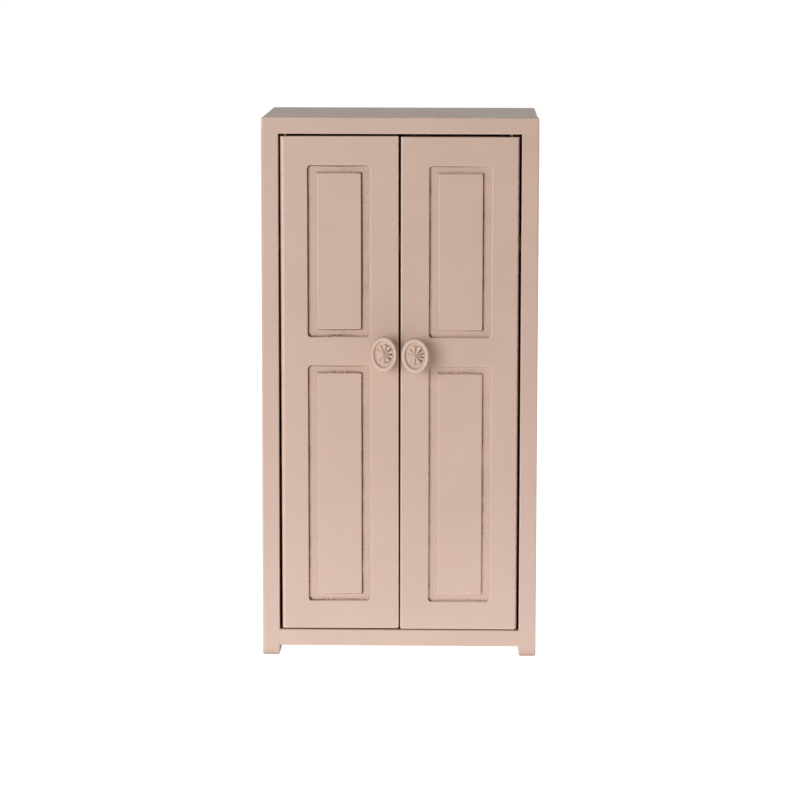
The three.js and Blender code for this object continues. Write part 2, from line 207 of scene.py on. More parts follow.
def inside(p, loop):
    hit = False
    n = len(loop)
    for i in range(n):
        (x0, y0), (x1, y1) = loop[i], loop[(i + 1) % n]
        if (y0 > p[1]) != (y1 > p[1]) and p[0] < (x1 - x0) * (p[1] - y0) / (y1 - y0) + x0:
            hit = not hit
    return hit


def refill(bm, face, holes):
    """Fills a flat face again, round loops of vertices that lie in it and stay open."""
    n = face.normal.copy()
    a = max(range(3), key=lambda i: abs(n[i]))
    u, w = [i for i in range(3) if i != a]
    outer = [l.vert for l in face.loops]
    bm.faces.remove(face)
    verts, edges, rings = [], [], []
    for ring in [outer, *holes]:
        base = len(verts)
        verts += ring
        edges += [(base + i, base + (i + 1) % len(ring)) for i in range(len(ring))]
        rings.append([(v.co[u], v.co[w]) for v in ring])
    coords = [Vector((v.co[u], v.co[w])) for v in verts]
    out, _, faces, origin, _, _ = geometry.delaunay_2d_cdt(coords, edges, [], 0, 1e-6)
    made = []
    for tri in faces:
        c = sum((out[i] for i in tri), Vector((0, 0))) / len(tri)
        if not inside(c, rings[0]) or any(inside(c, r) for r in rings[1:]):
            continue
        corner = [verts[origin[i][0]] for i in tri]
        f = bm.faces.new(corner)
        f.normal_update()
        if f.normal.dot(n) < 0:
            f.normal_flip()
        f.smooth = True
        made.append(f)
    return made


def sinks(bm, spots):
    """Sets round sinks in flat faces. Each spot is (point, side, rings), and the rings are
    (radius, depth, sharp) from the outside in; the last one closes with a flat."""
    edge = bm.verts.layers.float["edge"]
    by_face = {}
    for at, side, rings in spots:
        a = AXES[side[1]]
        found = None
        for f in bm.faces:
            if side_name(f.normal) != side or max(abs(c) for c in f.normal) < 0.9995:
                continue
            if abs(f.verts[0].co[a] - at[a]) > 0.05 or f.calc_area() < 9:
                continue
            u, w = [i for i in range(3) if i != a]
            if inside((at[u], at[w]), [(l.vert.co[u], l.vert.co[w]) for l in f.loops]):
                found = f
                break
        if found is None:
            raise RuntimeError(f"no flat face {side} at {at}")
        by_face.setdefault(found, []).append((at, side, rings))
    for face, group in by_face.items():
        holes = []
        n = face.normal.copy()
        a = max(range(3), key=lambda i: abs(n[i]))
        u, w = [i for i in range(3) if i != a]
        level = face.verts[0].co[a]
        for at, side, rings in group:
            sides = 24
            loops = []
            for radius, depth, sharp in rings:
                loop = []
                for i in range(sides):
                    t = i / sides * 2 * math.pi
                    p = [0, 0, 0]
                    p[u] = at[u] + radius * math.cos(t)
                    p[w] = at[w] + radius * math.sin(t)
                    p[a] = level - n[a] * depth
                    loop.append(bm.verts.new(p))
                loops.append(loop)
            for outer, inner in zip(loops, loops[1:]):
                for i in range(sides):
                    j = (i + 1) % sides
                    f = bm.faces.new([outer[i], outer[j], inner[j], inner[i]])
                    f.smooth = True
            cap = bm.faces.new(loops[-1])
            cap.smooth = True
            for (radius, depth, sharp), loop in zip(rings, loops):
                if sharp:
                    for i in range(sides):
                        bm.edges.get((loop[i], loop[(i + 1) % sides])).smooth = False
            holes.append(loops[0])
        refill(bm, face, holes)
    bmesh.ops.recalc_face_normals(bm, faces=bm.faces)


def dimple(radius=1.0, depth=0.1):
    """The shallow hollow that paint leaves over a sunk and filled pin head."""
    return [(radius * 1.35, 0, False), (radius * 1.15, 0, False), (radius * 0.95, depth * 0.35, False),
            (radius * 0.8, depth * 0.75, False), (radius * 0.55, depth, False), (radius * 0.25, depth * 0.94, False)]


def hole(radius, depth):
    return [(radius * 1.35, 0, False), (radius * 1.15, 0, False), (radius * 1.02, 0.06, False),
            (radius, 0.16, False), (radius, depth, True)]


def board_normals(bm, limit=math.cos(math.radians(42))):
    """A normal for each loop: flat faces are flat, and the curved ones run into them."""
    bm.normal_update()
    flat, area = {}, {}
    for f in bm.faces:
        flat[f] = max(abs(c) for c in f.normal) > 0.99995
        area[f] = f.calc_area()
    out = []
    for f in bm.faces:
        n = f.normal
        if flat[f]:
            out += [n.copy() for _ in f.loops]
            continue
        for l in f.loops:
            total, nearest, best = Vector((0, 0, 0)), None, limit
            for g in l.vert.link_faces:
                d = g.normal.dot(n)
                if d < limit:
                    continue
                if flat[g]:
                    if d >= best:
                        nearest, best = g.normal.copy(), d
                else:
                    total += g.normal * area[g]
            out.append(nearest or total.normalized())
    return out


def shown(name, bm, body, nodes, material, normals=True, place=None):
    """Makes the mesh into a piece that rides on a body and stands for its CAD nodes."""
    for f in bm.faces:
        f.smooth = True
    loops = board_normals(bm) if normals else None
    bm.transform(Matrix.Scale(MM, 4))
    if place is not None:
        bm.transform(place)
    mesh = bpy.data.meshes.new(name)
    bm.to_mesh(mesh)
    bm.free()
    if normals:
        turn = place.to_3x3() if place is not None else Matrix.Identity(3)
        mesh.normals_split_custom_set([turn @ n for n in loops])
    o = bpy.data.objects.new(name, mesh)
    scene.collection.objects.link(o)
    mesh.materials.clear()
    mesh.materials.append(material)
    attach(o, body)
    if nodes:
        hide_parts(*nodes)
    return o


# ------------------------------------------------------------------ materials


def nodes_of(name):
    m = bpy.data.materials.new(name)
    m.use_nodes = True
    t = m.node_tree
    return m, t, t.nodes["Principled BSDF"]


def node(t, kind, **values):
    n = t.nodes.new(kind)
    for k, v in values.items():
        if k.startswith("in_"):
            n.inputs[k[3:].replace("_", " ")].default_value = v
        else:
            setattr(n, k, v)
    return n


def ramp(t, source, stops):
    n = t.nodes.new("ShaderNodeValToRGB")
    cr = n.color_ramp
    while len(cr.elements) < len(stops):
        cr.elements.new(0.5)
    for e, (pos, value) in zip(cr.elements, stops):
        e.position = pos
        e.color = (value, value, value, 1) if isinstance(value, (int, float)) else (*value, 1)
    t.links.new(source, n.inputs["Fac"])
    return n.outputs["Color"]


def math_node(t, op, a, b=None, clamp=False):
    n = t.nodes.new("ShaderNodeMath")
    n.operation = op
    n.use_clamp = clamp
    for i, x in enumerate((a, b)):
        if x is None:
            continue
        if isinstance(x, (int, float)):
            n.inputs[i].default_value = x
        else:
            t.links.new(x, n.inputs[i])
    return n.outputs[0]


def mix_colour(t, fac, a, b, blend="MIX"):
    n = t.nodes.new("ShaderNodeMix")
    n.data_type = "RGBA"
    n.blend_type = blend
    n.clamp_result = False
    for i, x in ((0, fac), (6, a), (7, b)):
        if isinstance(x, (int, float)):
            n.inputs[i].default_value = x
        elif isinstance(x, tuple):
            n.inputs[i].default_value = (*x, 1)
        else:
            t.links.new(x, n.inputs[i])
    return n.outputs[2]


def noise_tex(t, coords, scale, detail=2.0, rough=0.5, distortion=0.0):
    n = node(t, "ShaderNodeTexNoise", in_Scale=scale, in_Detail=detail, in_Roughness=rough, in_Distortion=distortion)
    t.links.new(coords, n.inputs["Vector"])
    return n.outputs["Fac"]


def stretched(t, coords, sx, sy, sz):
    n = node(t, "ShaderNodeMapping")
    n.inputs["Scale"].default_value = (sx, sy, sz)
    t.links.new(coords, n.inputs["Vector"])
    return n.outputs["Vector"]


def bump(t, height, distance, strength=1.0, under=None):
    n = node(t, "ShaderNodeBump", in_Distance=distance, in_Strength=strength)
    t.links.new(height, n.inputs["Height"])
    if under is not None:
        t.links.new(under, n.inputs["Normal"])
    return n.outputs["Normal"]


def compare(t, value, edge, soft, above=True):
    """1 where a value is above (or below) an edge, in metres, softened."""
    k = (1 if above else -1) / soft
    n = math_node(t, "MULTIPLY_ADD", value, k, clamp=True)
    n.node.inputs[2].default_value = -edge * k + 0.5
    return n


def paint(name, base, low, high, brush=(1, 1, 1), peel=1.0, seed=0.0, rebate=None):
    """Satin paint over fibreboard: faint mottling, a sprayed orange peel, long soft marks of
    the sanded board under it, raised fibres where it was routed, lighter paint on the rounded edges that is partly wear
    and partly a painted highlight, and brown that is partly bare board where the spray didn't reach and partly painted
    shade on walls, edges and gaps turned from the light.
    rebate is (inner face x, back y) of board beside the doors' edges."""
    m, t, b = nodes_of(name)
    place = node(t, "ShaderNodeTexCoord").outputs["Object"]
    where = place
    if seed:
        shift = node(t, "ShaderNodeMapping")
        shift.inputs["Location"].default_value = (seed, -seed * 0.7, seed * 0.4)
        t.links.new(where, shift.inputs["Vector"])
        where = shift.outputs["Vector"]
    fuzz = node(t, "ShaderNodeAttribute", attribute_name="fuzz").outputs["Fac"]
    edge = node(t, "ShaderNodeAttribute", attribute_name="edge").outputs["Fac"]
    raw = node(t, "ShaderNodeAttribute", attribute_name="raw").outputs["Fac"]

    broad = noise_tex(t, where, 38, 3, 0.55)
    drawn = noise_tex(t, stretched(t, where, *brush), 420, 4, 0.6)
    grit = noise_tex(t, where, 1500, 3, 0.6)
    pores = noise_tex(t, where, 3400, 2, 0.6)
    fibre = noise_tex(t, where, 2300, 4, 0.7, 0.6)

    colour = mix_colour(t, ramp(t, broad, [(0.36, 0), (0.64, 1)]), tuple(c * 0.972 for c in base), tuple(min(1, c * 1.018) for c in base))
    warm = (base[0] * 1.012, base[1] * 0.985, base[2] * 0.965)
    colour = mix_colour(t, ramp(t, noise_tex(t, where, 95, 2, 0.5), [(0.42, 0), (0.62, 0.55)]), colour, warm)
    # a few pinholes and specks where the paint didn't fill the surface
    specks = ramp(t, pores, [(0.205, 1), (0.245, 0)])
    colour = mix_colour(t, math_node(t, "MULTIPLY", specks, 0.35), colour, (base[0] * 0.55, base[1] * 0.42, base[2] * 0.35))
    # lighter paint along the rounded edges: partly rubbed wear, partly a painted highlight
    wear_and_highlight = math_node(t, "MULTIPLY", edge, ramp(t, noise_tex(t, where, 260, 4, 0.65), [(0.36, 0.45), (0.66, 0.95)]))
    colour = mix_colour(t, wear_and_highlight, colour, (min(1, base[0] * 1.22), min(1, base[1] * 1.27), min(1, base[2] * 1.33)))
    # the routed grooves are darker overall, and gritty
    coarse = noise_tex(t, where, 1150, 3, 0.62)
    colour = mix_colour(t, math_node(t, "MULTIPLY", fuzz, 0.05), colour, (base[0] * 0.55, base[1] * 0.5, base[2] * 0.46))
    grain = math_node(t, "MULTIPLY", ramp(t, coarse, [(0.50, 0), (0.66, 1)]), math_node(t, "MULTIPLY", fuzz, 0.48))
    colour = mix_colour(t, grain, colour, (base[0] * 0.60, base[1] * 0.52, base[2] * 0.46))
    # bare brown board, which also stands in for painted shade on groove walls, the right door's hinge edge, the gaps
    # and the knobs' dish: more of it shows the higher the attribute value is
    # the side boards' inner faces just behind the front, seen in the gaps beside the doors, get bare board that also
    # works as painted shade in the gaps
    if rebate:
        split = t.nodes.new("ShaderNodeSeparateXYZ")
        t.links.new(place, split.inputs[0])
        inner, back = rebate
        gap_bare_and_shade = math_node(t, "MULTIPLY", compare(t, math_node(t, "ABSOLUTE", split.outputs["X"]), inner + 0.00008, 0.00005, False),
                          compare(t, split.outputs["Y"], back, 0.0006, False))
        raw = math_node(t, "MAXIMUM", raw, math_node(t, "MULTIPLY", gap_bare_and_shade, 0.62))
    plain_paint_share = math_node(t, "SUBTRACT", 1.0, raw)
    fleck = math_node(t, "ADD", math_node(t, "MULTIPLY", fibre, 0.6), math_node(t, "MULTIPLY", pores, 0.4))
    spread = math_node(t, "MULTIPLY_ADD", fleck, 2.6)
    spread.node.inputs[2].default_value = -0.8
    board_and_shade_amount = math_node(t, "MULTIPLY", math_node(t, "SUBTRACT", spread, plain_paint_share), 3.2, clamp=True)
    # brown of bare board, also used as the colour of painted shade
    board = mix_colour(t, grit, (0.17, 0.085, 0.052), (0.28, 0.155, 0.098))
    colour = mix_colour(t, board_and_shade_amount, colour, board)
    t.links.new(colour, b.inputs["Base Color"])

    shine = mix_colour(t, ramp(t, drawn, [(0.3, 0), (0.7, 1)]), (low,) * 3, (high,) * 3)
    matt = math_node(t, "MAXIMUM", math_node(t, "MULTIPLY", fuzz, 0.8), board_and_shade_amount, clamp=True)
    shine = mix_colour(t, matt, shine, (0.92,) * 3)
    shine = mix_colour(t, math_node(t, "MULTIPLY", edge, math_node(t, "SUBTRACT", 1.0, matt)), shine, (0.17,) * 3)
    t.links.new(shine, b.inputs["Roughness"])
    b.inputs["IOR"].default_value = 1.45

    n = bump(t, broad, 0.00012 * peel, 0.5)
    n = bump(t, drawn, 0.000012 * peel, 0.7, n)
    n = bump(t, grit, 0.000016 * peel, 0.8, n)
    n = bump(t, math_node(t, "MULTIPLY", fibre, fuzz), 0.00022, 1.0, n)
    n = bump(t, math_node(t, "MULTIPLY", coarse, fuzz), 0.00030, 1.0, n)
    t.links.new(n, b.inputs["Normal"])
    return m


def birch(name):
    m, t, b = nodes_of(name)
    where = node(t, "ShaderNodeTexCoord").outputs["Object"]
    long = stretched(t, where, 0.06, 1, 1)
    rings = noise_tex(t, long, 900, 5, 0.6, 0.3)
    broad = noise_tex(t, stretched(t, where, 0.15, 1, 1), 220, 3, 0.5)
    fleck = noise_tex(t, stretched(t, where, 0.25, 1, 1), 2600, 3, 0.6)
    colour = mix_colour(t, ramp(t, rings, [(0.35, 0), (0.68, 1)]), (0.60, 0.42, 0.235), (0.74, 0.56, 0.355))
    colour = mix_colour(t, ramp(t, broad, [(0.35, 0), (0.7, 0.6)]), colour, (0.66, 0.45, 0.25))
    colour = mix_colour(t, ramp(t, fleck, [(0.62, 0), (0.74, 0.5)]), colour, (0.40, 0.25, 0.13))
    t.links.new(colour, b.inputs["Base Color"])
    t.links.new(mix_colour(t, rings, (0.5,) * 3, (0.68,) * 3), b.inputs["Roughness"])
    n = bump(t, rings, 0.00004, 0.8)
    n = bump(t, fleck, 0.00002, 0.7, n)
    t.links.new(n, b.inputs["Normal"])
    return m


def steel(name, tint=(0.56, 0.54, 0.52), along=(1, 1, 0.04)):
    m, t, b = nodes_of(name)
    where = node(t, "ShaderNodeTexCoord").outputs["Object"]
    draw = noise_tex(t, stretched(t, where, *along), 5200, 3, 0.6)
    spots = noise_tex(t, where, 700, 4, 0.65)
    colour = mix_colour(t, ramp(t, spots, [(0.45, 0), (0.75, 1)]), tint, tuple(c * 0.72 for c in tint))
    t.links.new(colour, b.inputs["Base Color"])
    b.inputs["Metallic"].default_value = 1.0
    rough = mix_colour(t, spots, (0.24,) * 3, (0.46,) * 3)
    t.links.new(rough, b.inputs["Roughness"])
    n = bump(t, draw, 0.000006, 0.8)
    n = bump(t, spots, 0.00001, 0.5, n)
    t.links.new(n, b.inputs["Normal"])
    return m


PINK = (0.665, 0.487, 0.392)
board_upright = paint("painted_board_upright", PINK, 0.35, 0.45, (1, 1, 0.12),
                      rebate=(X_IN * MM, (Y_FRONT + BOARD) * MM))
board_flat = paint("painted_board_flat", PINK, 0.35, 0.45, (0.12, 1, 1), seed=0.31)
door_paint = paint("painted_door", PINK, 0.34, 0.44, (1, 1, 0.12), seed=0.77)
knob_paint = paint("painted_knob", (0.73, 0.556, 0.452), 0.28, 0.38, (1, 1, 1), 0.7, seed=0.13)
dowel = birch("bare_birch")
bright_steel = steel("bright_steel")
# the hinge pins' steel is coloured dark brown
pin_steel = steel("dark_brown_pin_steel", (0.20, 0.145, 0.095))
screw_steel = steel("screw_steel", (0.60, 0.58, 0.55), (1, 1, 1))

# ------------------------------------------------------------------ carcass boards

FILL = 1.0
brads = {n: mm_box(n) for n in frame["nodes"] if "_pin_" in n and not n.startswith("hinge_pin")}


def middle(b):
    return [(b[0][i] + b[1][i]) / 2 for i in range(3)]


for side, box in (("left", SIDE_L), ("right", SIDE_R)):
    s = -1 if side == "left" else 1
    (x0, y0, z0), (x1, y1, z1) = box
    out, inn = ("-x", "+x") if s < 0 else ("+x", "-x")
    opening = lambda m: 0.42 if DECK[1][2] < m.z < TOP[0][2] else (0.42 if m.z < DECK[0][2] else 0)
    rounds = {
        out + "-y": 0.7, inn + "-y": opening,
        out + "-z": 0.9, inn + "-z": 0.9, "-y-z": 0.6, "+y-z": 0.3,
    }
    zs = [z0, DECK[0][2], DECK[1][2], z1]
    bm = rounded_box([x0, x1], [y0, y1], zs, rounds)
    spots = [([s * X_OUT, c[1], c[2]], out, dimple(FILL * (1 + 0.08 * wobble(c, 3, 1)), 0.09))
             for c in (middle(b) for n, b in brads.items() if n.startswith(("base_pin_" + side, "shelf_pin_" + side)))]
    sinks(bm, spots)
    shown("board_side_" + side, bm, "carcass", ["side_panel_" + side], board_upright)

(x0, y0, z0), (x1, y1, z1) = TOP
over = lambda m: 0.42 if abs(m.x) < X_IN else 0
bm = rounded_box([x0, -X_IN, X_IN, x1], [y0, y1], [z0, z1],
                 {"-y+z": 0.45, "-x+z": 0.45, "+x+z": 0.45, "-x-y": 0.8, "+x-y": 0.8, "-x+y": 1.2, "+x+y": 1.2, "-y-z": over})
spots = [([c[0], c[1], z1], "+z", dimple(FILL, 0.08)) for c in (middle(b) for n, b in brads.items() if n.startswith("top_pin"))]
spots += [([c[0], c[1], z1], "+z", dimple(1.1, 0.06)) for c in (middle(mm_box("hinge_pin_%s_top" % s)) for s in ("left", "right"))]
sinks(bm, spots)
shown("board_top", bm, "carcass", ["top_panel"], board_flat)

(x0, y0, z0), (x1, y1, z1) = DECK
bm = rounded_box([x0, x1], [y0, y1], [z0, z1], {"-y+z": 0.42, "-y-z": 0.4})
spots = [([c[0], c[1], z0], "-z", dimple(1.1, 0.06)) for c in (middle(mm_box("hinge_pin_%s_bottom" % s)) for s in ("left", "right"))]
sinks(bm, spots)
shown("board_bottom", bm, "carcass", ["bottom_panel"], board_flat)

(x0, y0, z0), (x1, y1, z1) = BACK
bm = rounded_box([x0, x1], [y0, y1], [z0, z1],
                 {"-x+y": 1.5, "+x+y": 1.5, "+y+z": 0.3, "+y-z": 0.5, "-x+z": 2.2, "+x+z": 2.2, "-x-z": 0.5, "+x-z": 0.5,
                  "-x-y": 0.15, "+x-y": 0.15, "-y+z": 0.15, "-y-z": 0.15})
spots = [([c[0], y1, c[2]], "+y", dimple(0.8 * (1 + 0.1 * wobble(c, 3, 2)), 0.1))
         for c in (middle(b) for n, b in brads.items() if n.startswith("back_pin"))]
sinks(bm, spots)
shown("board_back", bm, "carcass", ["back_panel"], board_upright)

(x0, y0, z0), (x1, y1, z1) = SHELF
bm = rounded_box([x0, x1], [y0, y1], [z0, z1], {"-y+z": 0.5, "-y-z": 0.5})
shown("board_shelf", bm, "carcass", ["hat_shelf"], board_flat)


# ------------------------------------------------------------------ round things


def turned(points, sides, start=None):
    """A turning about Z from (radius, height) points, from the low end to the high end."""
    bm = bmesh.new()
    loops = []
    for r, h in points:
        if r < 1e-6:
            loops.append([bm.verts.new((0, 0, h))])
        else:
            loops.append([bm.verts.new((r * math.cos(i / sides * 2 * math.pi), r * math.sin(i / sides * 2 * math.pi), h))
                          for i in range(sides)])
    for a, b in zip(loops, loops[1:]):
        for i in range(sides):
            j = (i + 1) % sides
            if len(a) == 1:
                bm.faces.new([a[0], b[j], b[i]])
            elif len(b) == 1:
                bm.faces.new([a[i], a[j], b[0]])
            else:
                bm.faces.new([a[i], a[j], b[j], b[i]])
    bmesh.ops.recalc_face_normals(bm, faces=bm.faces)
    for e in bm.edges:
        if len(e.link_faces) == 2 and e.calc_face_angle(0) > math.radians(40):
            e.smooth = False
    return bm


def aim(at, direction):
    """Turns +Z to a direction and moves the origin to a point, both in millimetres."""
    d = Vector(direction).normalized()
    return Matrix.Translation(Vector(at) * MM) @ d.to_track_quat("Z", "Y").to_matrix().to_4x4()


def nail_profile(r, length, head_r, head, point):
    return [(0, -length), (r * 0.35, -length + point * 0.35), (r * 0.8, -length + point * 0.8), (r, -length + point * 1.15),
            (r, -head - 0.05), (head_r * 0.93, -head), (head_r, -head * 0.82), (head_r, -head * 0.3),
            (head_r * 0.94, -head * 0.06), (head_r * 0.8, 0), (0, 0)]


for name, box in brads.items():
    lo, hi = box
    size = [hi[i] - lo[i] for i in range(3)]
    a = max(range(3), key=lambda i: size[i])
    c = middle(box)
    sign = 1 if (a == 2 or a == 1) else (1 if c[0] > 0 else -1)
    at = list(c)
    at[a] = hi[a] if sign > 0 else lo[a]
    direction = [0, 0, 0]
    direction[a] = sign
    bm = turned(nail_profile(0.5, size[a], 0.9, 0.4, 1.2), 16)
    shown("brad_" + name, bm, "carcass", [name], bright_steel, normals=False, place=aim(at, direction))

for side, hang in HANG.items():
    joint = JOINTS[side + "_door_hinge"]
    line = Vector(joint["axis"])
    if line.z < 0:
        line = -line
    line.normalize()
    mid = Vector(joint["pos_m"]) / MM
    for end, level, sense in (("top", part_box("hinge_pin_%s_top" % side)[1].z / MM, 1),
                              ("bottom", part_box("hinge_pin_%s_bottom" % side)[0].z / MM, -1)):
        at = mid + line * (level - mid.z) / line.z
        bm = turned(nail_profile(0.7, 13.6, 1.3, 0.6, 0.8), 32)
        shown("pin_%s_%s" % (side, end), bm, "carcass", ["hinge_pin_%s_%s" % (side, end)],
              pin_steel, normals=False, place=aim(at, line * sense))

lo, hi = RAIL
half = (hi[0] - lo[0]) / 2
r = (hi[2] - lo[2]) / 2
points = [(0, -half), (r * 0.8, -half), (r * 0.95, -half + 0.12), (r, -half + 0.4)]
points += [(r * (1 + 0.004 * math.sin(k * 1.7)), -half + 0.4 + k / 24 * (2 * half - 0.8)) for k in range(1, 24)]
points += [(r, half - 0.4), (r * 0.95, half - 0.12), (r * 0.8, half), (0, half)]
bm = turned(points, 48)
shown("rail_dowel", bm, "carcass", ["hanging_rail"], dowel, normals=False,
      place=aim([(lo[i] + hi[i]) / 2 for i in range(3)], (1, 0, 0)))


# ------------------------------------------------------------------ doors


def groove_loops(x0, x1, z0, z1, step=0.35):
    """Matching loops of points round a groove: its outer edge and the island's edge."""
    w, rc, ri = GROOVE_WIDTH, GROOVE_CORNER, 0.2
    arc = 9

    def loop(x0, x1, z0, z1, r, counts):
        pts = []
        corners = [((x1 - r, z0 + r), -90), ((x1 - r, z1 - r), 0), ((x0 + r, z1 - r), 90), ((x0 + r, z0 + r), 180)]
        for c, ((cx, cz), start) in enumerate(corners):
            for k in range(arc + 1):
                a = math.radians(start + 90 * k / arc)
                pts.append((cx + r * math.cos(a), cz + r * math.sin(a)))
            (nx, nz), nstart = corners[(c + 1) % 4]
            a = math.radians(nstart)
            p = pts[-1]
            q = (nx + r * math.cos(a), nz + r * math.sin(a))
            for k in range(1, counts[c]):
                f = k / counts[c]
                pts.append((p[0] + (q[0] - p[0]) * f, p[1] + (q[1] - p[1]) * f))
        return pts

    nz = max(2, int(round((z1 - z0 - 2 * rc) / step)))
    nx = max(2, int(round((x1 - x0 - 2 * rc) / step)))
    counts = [nz, nx, nz, nx]
    return loop(x0, x1, z0, z1, rc, counts), loop(x0 + STROKES[0], x1 - STROKES[1], z0 + w, z1 - w, ri, counts)


# From a groove's edge: distance in, and depth. The cutter left a sloping, rounded wall.
WALL = [(0.0, 0.0), (0.08, 0.012), (0.17, 0.05), (0.26, 0.12), (0.35, 0.24), (0.43, 0.40), (0.50, 0.57), (0.57, 0.73),
        (0.65, 0.87), (0.75, 0.98), (0.88, 1.05), (1.05, 1.085), (1.30, 1.10)]
LEFTWARD = [(0.0, 0.0), (0.10, 0.010), (0.20, 0.035), (0.30, 0.08), (0.40, 0.155), (0.48, 0.25), (0.55, 0.37), (0.60, 0.50),
            (0.64, 0.65), (0.68, 0.82), (0.74, 0.97), (0.90, 1.06), (1.20, 1.10)]
PROFILE = [(*w, *v, 1) for w, v in zip(WALL, LEFTWARD)] + [(GROOVE_WIDTH / 2, GROOVE_DEPTH) * 2 + (0,)] \
    + [(*w, *v, -1) for w, v in reversed(list(zip(WALL, LEFTWARD)))]


# How dark each wall of each groove is made with the bare brown, which is partly bare board and partly painted shade on
# walls turned from the light:
# the outer edge's left, top and bottom, then the island's right, top and bottom, and the grit and painted shade on the
# floor of the right stroke.
BARE_AND_SHADE_BY_WALL = {
    ("left", 0): (1.10, 1.00, 0.78, 1.16, 0.72, 0.72, 0.14),
    ("left", 1): (1.22, 1.15, 0.74, 1.50, 0.46, 1.25, 0.30),
    ("right", 0): (0.78, 0.60, 0.48, 0.78, 0.58, 0.60, 0.10),
    ("right", 1): (0.86, 0.66, 0.46, 0.98, 0.34, 0.70, 0.14),
}


def bump_curve(x, lo, hi, soft):
    """1 between lo and hi, falling to 0 over soft on either side."""
    return max(0.0, min(1.0, (x - lo) / soft + 1, (hi - x) / soft + 1))


def cut_groove(bm, x0, x1, z0, z1, y, seed, wall_bare_and_shade):
    """Adds a groove's surface and returns its outer loop and the island's loop."""
    edge = bm.verts.layers.float["edge"]
    fuzz = bm.verts.layers.float["fuzz"]
    raw = bm.verts.layers.float["raw"]
    outer, island = groove_loops(x0, x1, z0, z1)
    n = len(outer)
    rows = []
    for far, wall, left_far, left_wall, half in PROFILE:
        row = []
        for i in range(n):
            (ox, oz), (ix, iz) = outer[i], island[i]
            dx, dz = ix - ox, iz - oz
            length = math.hypot(dx, dz)
            unit = Vector((dx, 0, dz)) / length
            into = unit * (1 if half >= 0 else -1)
            right, left = max(0, into.x), max(0, -into.x)
            upward, down = max(0, into.z), max(0, -into.z)
            # the walls that face left have a rounder arris and are steeper under it
            along = far + (left_far - far) * left ** 2
            depth = wall + (left_wall - wall) * left ** 2
            # distances stay true near each edge, also across the mitred corners
            k = along / length if half > 0 else (0.5 if half == 0 else 1 - along / length)
            px, pz = ox + dx * k, oz + dz * k
            p = Vector((px, y + depth, pz))
            slow = wobble((px, depth, pz), 5.0, seed + 5)
            quick = wobble((px, depth, pz), 1.1, seed + 9)
            side_right = 1 if px > (x0 + x1) / 2 else 0
            if half:
                on_outer = half > 0
                # bare board mixed with painted shade: darkest on walls facing right, away from the light, a broad band
                # on walls facing up, a thin line on walls facing down, and a dark line at the foot of walls facing left
                board_and_shade_amount = (wall_bare_and_shade[0] if on_outer else wall_bare_and_shade[3]) * right ** 2 * bump_curve(far, 0.34, 0.70, 0.30)
                board_and_shade_amount += (0.34 + 0.14 * quick) * left ** 2 * bump_curve(far, 0.70, 1.00, 0.14)
                board_and_shade_amount += (wall_bare_and_shade[2] if on_outer else wall_bare_and_shade[4]) * upward ** 2 * bump_curve(far, 0.50, 1.05, 0.45) * (0.9 + 0.35 * quick)
                board_and_shade_amount += (wall_bare_and_shade[1] if on_outer else wall_bare_and_shade[5]) * down ** 2 * bump_curve(far, 0.40, 0.66, 0.20)
                # painted shade: less of it low on the door, where more light comes up from below
                board_and_shade_amount *= (0.80 + 0.24 * (pz - 10) / 180) + 0.22 * slow
                # the groove floor is darkened a little: partly grit, partly painted shade
                floor = bump_curve(far, 1.0, 1.3, 0.25)
                board_and_shade_amount = max(board_and_shade_amount, floor * (0.09 + wall_bare_and_shade[6] * side_right * max(abs(into.x), 0.4) + 0.05 * slow + 0.05 * quick))
                rough = bump_curve(far, 0.55, 1.0, 0.3) * (0.25 + 0.75 * max(right, upward))
                rough = max(rough, (0.42 + wall_bare_and_shade[6] * side_right) * floor)
            else:
                board_and_shade_amount, rough = 0.10 + wall_bare_and_shade[6] * side_right * max(abs(unit.x), 0.4) + 0.06 * slow + 0.06 * quick, 0.42 + wall_bare_and_shade[6] * side_right
            # the cutter plunged a little deep at this corner, and the corner is coloured dark brown as painted shade
            corner_plunge_and_shade = math.exp(-((px - x0 - 0.7) ** 2 + (pz - z0 - 0.7) ** 2) / 0.55)
            board_and_shade_amount += 0.8 * corner_plunge_and_shade * (1 if depth > 0.1 else 0)
            if depth > 0:
                lump = wobble((px, depth, pz), 0.62, seed) + 0.6 * wobble((px, depth, pz), 0.33, seed + 3)
                strength = rough * min(1, depth / 0.3)
                ragged = 0.5 + 0.5 * max(right, upward)
                p.y -= strength * (0.038 * lump + 0.02 * slow) - 0.22 * corner_plunge_and_shade * min(1, depth)
                p += into * ragged * (0.075 * lump + 0.04 * slow) * min(1, depth / 0.15) * min(1, max(0, 1.1 - depth) / 0.15)
            v = bm.verts.new(p)
            v[fuzz] = max(0.0, min(1.0, rough * (0.8 + 0.4 * slow))) if depth > 0.03 else 0.0
            v[raw] = max(0.0, min(1.3, board_and_shade_amount))
            # the groove's arris gets the lighter edge paint: partly wear, partly a painted highlight
            v[edge] = 0.5 if 0 < depth < 0.2 else 0.0
            row.append(v)
        rows.append(row)
    for a, b in zip(rows, rows[1:]):
        for i in range(n):
            j = (i + 1) % n
            f = bm.faces.new([a[i], a[j], b[j], b[i]])
            f.smooth = True
    return rows[0], rows[-1]


